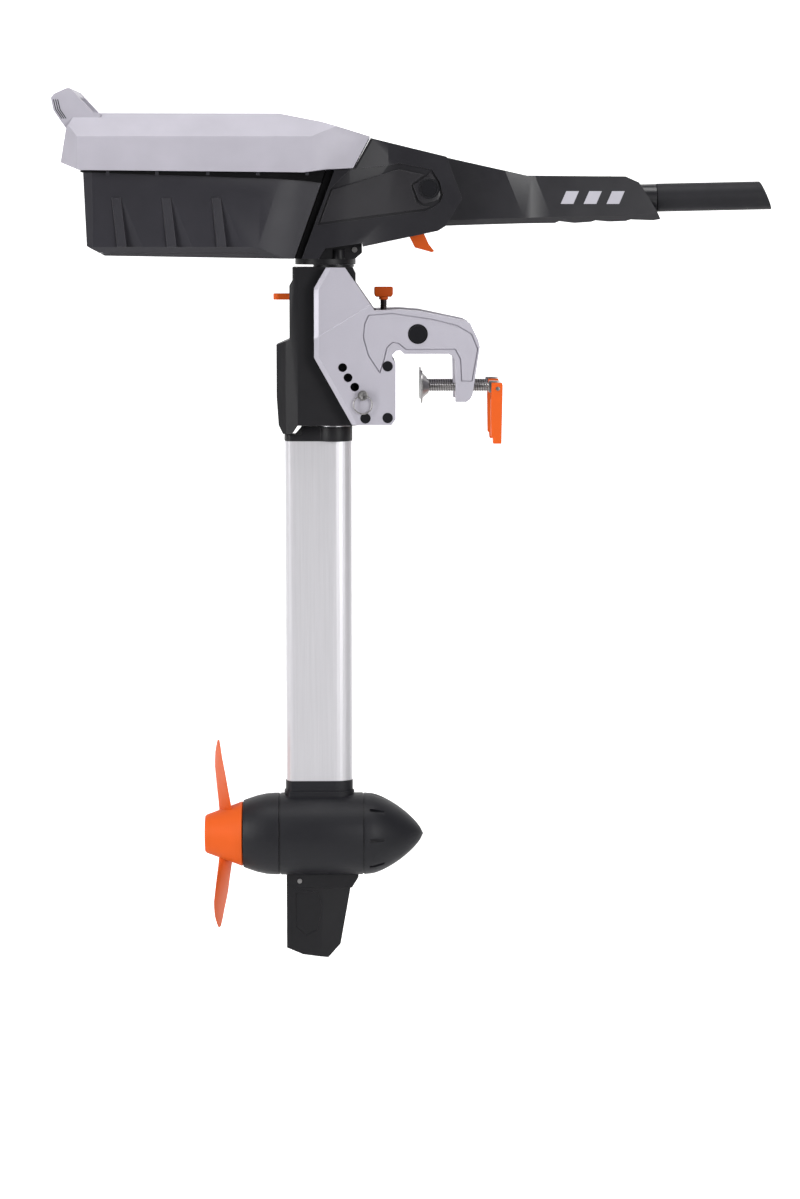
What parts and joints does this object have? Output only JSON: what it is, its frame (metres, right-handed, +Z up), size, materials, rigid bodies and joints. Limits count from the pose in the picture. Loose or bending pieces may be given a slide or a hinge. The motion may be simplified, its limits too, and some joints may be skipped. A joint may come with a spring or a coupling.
{
  "type": "trolling motor",
  "caption": "Portable electric outboard motor with a removable battery, folding tiller, tilting transom clamp, flattened leg, bladed propeller and skeg.",
  "frame": {"origin": "centre of the flat seat under the clamp bridge, where it rests on the top edge of a transom, on the middle plane", "axes": "+X forward into the boat, towards the tiller grip; +Y to port; +Z up along the leg"},
  "size_m": [0.9076, 0.21, 1.1185],
  "materials": {
    "bracket_paint": "satin silver-grey powder coat on cast aluminium",
    "saddle_paint": "satin grey powder coat",
    "steel": "turned stainless steel",
    "cap_black": "moulded black plastic cap",
    "orange_plastic": "satin orange moulded plastic",
    "swivel_black": "fine textured black glass-filled plastic",
    "bush_plastic": "machined bearing plastic",
    "bush_black": "black bearing plastic",
    "leg_alloy": "satin anodised extruded aluminium",
    "head_black": "fine textured black plastic",
    "panel_black": "fine textured dark grey plastic",
    "seal_rubber": "matt black seal rubber",
    "pod_paint": "satin black coated aluminium",
    "copper": "enamelled copper winding",
    "board_green": "solder-masked circuit board",
    "rotor_steel": "laminated rotor steel",
    "tub_grey": "fine textured dark grey plastic",
    "lid_grey": "satin light grey plastic",
    "cell_wrap": "shrink-wrapped cell block",
    "display_glass": "smoked display window",
    "grip_rubber": "soft matt rubber grip",
    "cable_black": "black cable jacket"
  },
  "bodies": {
    "clamp_bracket": {"clamp_plate_near": "bracket_paint", "clamp_plate_far": "bracket_paint", "transom_saddle": "saddle_paint", "tilt_axle": "steel", "axle_caps": "cap_black", "cross_bolts": "steel", "spacer_tubes": "steel", "bolt_caps": "cap_black"},
    "trim_pin": {"trim_pin": "steel"},
    "pin_ring": {"split_ring": "steel"},
    "near_pad": {"pressure_pad_near": "steel"},
    "near_screw": {"clamp_screw_near": "steel"},
    "near_handle": {"clamp_handle_near": "orange_plastic"},
    "far_pad": {"pressure_pad_far": "steel"},
    "far_screw": {"clamp_screw_far": "steel"},
    "far_handle": {"clamp_handle_far": "orange_plastic"},
    "swivel_bracket": {"swivel_housing": "swivel_black", "tilt_bushes": "bush_plastic", "steering_bushes": "bush_black", "lever_pin": "steel"},
    "friction_lever": {"friction_lever": "orange_plastic"},
    "rest_shoe": {"rest_shoe": "bush_plastic"},
    "rest_screw": {"rest_screw": "orange_plastic"},
    "leg": {"steering_tube": "leg_alloy", "shaft_tube": "leg_alloy", "shaft_collar": "swivel_black", "steering_neck": "swivel_black", "leg_screws": "steel", "head_housing": "head_black", "head_panels": "panel_black", "pivot_caps": "cap_black", "hinge_pin": "steel", "dock_gasket": "seal_rubber", "head_plug": "cap_black", "power_cable": "cable_black", "pod_foot": "pod_paint", "pod_body": "pod_paint", "pod_rear": "pod_paint", "nose_cone": "pod_paint", "stator": "copper", "controller_board": "board_green", "shaft_bearings": "steel", "shaft_seal": "seal_rubber", "skeg": "swivel_black"},
    "rotor": {"prop_shaft": "steel", "motor_rotor": "rotor_steel", "propeller": "orange_plastic"},
    "battery": {"battery_tub": "tub_grey", "battery_lid": "lid_grey", "rim_seal": "seal_rubber", "lid_strip": "cap_black", "cell_block": "cell_wrap", "battery_board": "board_green", "battery_socket": "cap_black"},
    "tiller": {"tiller_arm": "head_black", "tiller_display": "display_glass", "throttle_tube": "steel"},
    "power_button": {"power_button": "orange_plastic"},
    "throttle": {"throttle_grip": "grip_rubber"},
    "trigger": {"lock_trigger": "orange_plastic"}
  },
  "joints": [
    {"name": "tilt", "type": "hinge", "parent": "clamp_bracket", "child": "swivel_bracket", "pos_m": [-0.014, 0, 0.025], "axis": [0, 1, 0], "range_deg": [0, 75]},
    {"name": "steering", "type": "hinge", "parent": "swivel_bracket", "child": "leg", "pos_m": [-0.12, 0, 0], "axis": [0, 0, 1], "range_deg": [-45, 45]},
    {"name": "propeller_spin", "type": "hinge", "parent": "leg", "child": "rotor", "pos_m": [-0.2, 0, -0.625], "axis": [1, 0, 0], "continuous": true},
    {"name": "battery_lift", "type": "slide", "parent": "leg", "child": "battery", "axis": [0, 0, 1], "range_m": [0, 0.12]},
    {"name": "tiller_fold", "type": "hinge", "parent": "leg", "child": "tiller", "pos_m": [0, 0, 0.2065], "axis": [0, -1, 0], "range_deg": [0, 90]},
    {"name": "throttle_twist", "type": "hinge", "parent": "tiller", "child": "throttle", "pos_m": [0.289, 0, 0.1955], "axis": [0.9998, 0, 0.0209], "range_deg": [-50, 50]},
    {"name": "power_button_press", "type": "slide", "parent": "tiller", "child": "power_button", "axis": [0, 0, -1], "range_m": [0, 0.0015], "stiffness_N_per_m": 400},
    {"name": "trigger_pull", "type": "hinge", "parent": "leg", "child": "trigger", "pos_m": [-0.016, 0, 0.1525], "axis": [0, -1, 0], "range_deg": [0, 18], "stiffness_Nm_per_rad": 0.5},
    {"name": "steering_friction", "type": "hinge", "parent": "swivel_bracket", "child": "friction_lever", "pos_m": [-0.167, 0, 0.0705], "axis": [0, 0, 1], "range_deg": [0, 40]},
    {"name": "rest_shoe_travel", "type": "slide", "parent": "swivel_bracket", "child": "rest_shoe", "axis": [0, 0, 1], "range_m": [0, 0.01]},
    {"name": "rest_screw_turn", "type": "hinge", "parent": "rest_shoe", "child": "rest_screw", "pos_m": [-0.0565, 0, 0.05], "axis": [0, 0, 1], "range_deg": [0, 2400]},
    {"name": "trim_pin_pull", "type": "slide", "parent": "clamp_bracket", "child": "trim_pin", "axis": [0, -1, 0], "range_m": [0, 0.145]},
    {"name": "pin_ring_swing", "type": "hinge", "parent": "trim_pin", "child": "pin_ring", "pos_m": [-0.08332, -0.0714, -0.05199], "axis": [-1, 0, 0], "range_deg": [0, 90]},
    {"name": "near_pad_travel", "type": "slide", "parent": "clamp_bracket", "child": "near_pad", "axis": [1, 0, 0], "range_m": [-0.013, 0.025]},
    {"name": "near_screw_turn", "type": "hinge", "parent": "near_pad", "child": "near_screw", "pos_m": [0.03, -0.0535, -0.042], "axis": [1, 0, 0], "range_deg": [-1560, 3000]},
    {"name": "near_handle_fold", "type": "hinge", "parent": "near_screw", "child": "near_handle", "pos_m": [0.087, -0.0535, -0.044], "axis": [0, -1, 0], "range_deg": [0, 90]},
    {"name": "far_pad_travel", "type": "slide", "parent": "clamp_bracket", "child": "far_pad", "axis": [1, 0, 0], "range_m": [-0.013, 0.025]},
    {"name": "far_screw_turn", "type": "hinge", "parent": "far_pad", "child": "far_screw", "pos_m": [0.03, 0.0535, -0.042], "axis": [1, 0, 0], "range_deg": [-1560, 3000]},
    {"name": "far_handle_fold", "type": "hinge", "parent": "far_screw", "child": "far_handle", "pos_m": [0.087, 0.0535, -0.044], "axis": [0, -1, 0], "range_deg": [0, 90]}
  ],
  "couplings": [
    {"joint": "rest_screw_turn", "follows": "rest_shoe_travel", "rad_per_m": 4188.8},
    {"joint": "near_screw_turn", "follows": "near_pad_travel", "rad_per_m": 2094.4},
    {"joint": "far_screw_turn", "follows": "far_pad_travel", "rad_per_m": 2094.4}
  ]
}
